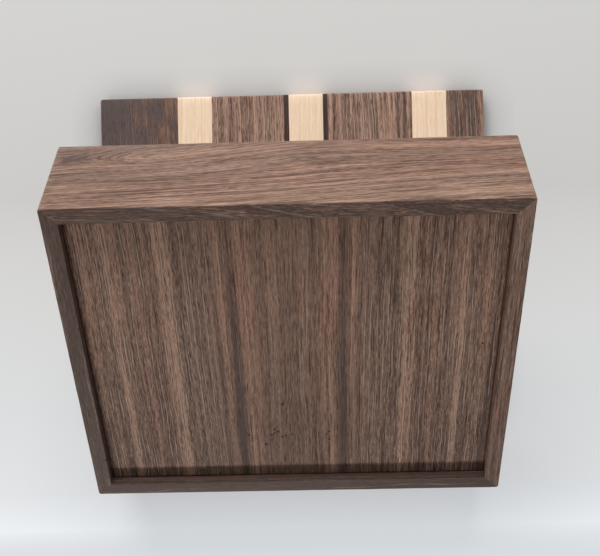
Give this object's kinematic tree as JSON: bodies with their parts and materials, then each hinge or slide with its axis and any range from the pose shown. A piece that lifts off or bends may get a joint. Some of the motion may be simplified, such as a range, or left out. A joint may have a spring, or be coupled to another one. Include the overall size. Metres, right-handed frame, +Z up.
{
  "type": "keepsake box",
  "caption": "Shallow rectangular walnut box with mitred corners, a bottom panel in grooves and a hinged lid of walnut, maple and dark strips.",
  "frame": {"origin": "middle of the rectangle on which the box stands, in the plane of the walls' lower edges", "axes": "+Z up from the base to the lid, front of the box towards -Y, hinges towards +Y, width along X"},
  "size_m": [0.315, 0.2696, 0.2635],
  "materials": {
    "walnut_walls": "oiled walnut, satin",
    "walnut_panel": "oiled walnut, satin",
    "walnut_lid": "oiled walnut, satin",
    "maple": "oiled hard maple, satin",
    "dark_wood": "oiled near-black wood, satin",
    "brass_hinges": "brushed brass",
    "brass_pins": "turned brass",
    "brass_screws": "slotted brass"
  },
  "bodies": {
    "box": {"front_wall": "walnut_walls", "back_wall": "walnut_walls", "left_wall": "walnut_walls", "right_wall": "walnut_walls", "bottom_panel": "walnut_panel", "left_hinge_box_leaf": "brass_hinges", "left_hinge_pin": "brass_pins", "right_hinge_box_leaf": "brass_hinges", "right_hinge_pin": "brass_pins", "box_leaf_screws": "brass_screws"},
    "lid": {"lid_walnut_1": "walnut_lid", "lid_maple_1": "maple", "lid_walnut_2": "walnut_lid", "lid_accent_1": "dark_wood", "lid_maple_2": "maple", "lid_accent_2": "dark_wood", "lid_walnut_3": "walnut_lid", "lid_maple_3": "maple", "lid_walnut_4": "walnut_lid", "left_hinge_lid_leaf": "brass_hinges", "right_hinge_lid_leaf": "brass_hinges", "lid_leaf_screws": "brass_screws"}
  },
  "joints": [
    {"name": "lid_hinge", "type": "hinge", "parent": "box", "child": "lid", "pos_m": [0, 0.131, 0.0762], "axis": [-1, 0, 0], "range_deg": [-41, 54]}
  ]
}
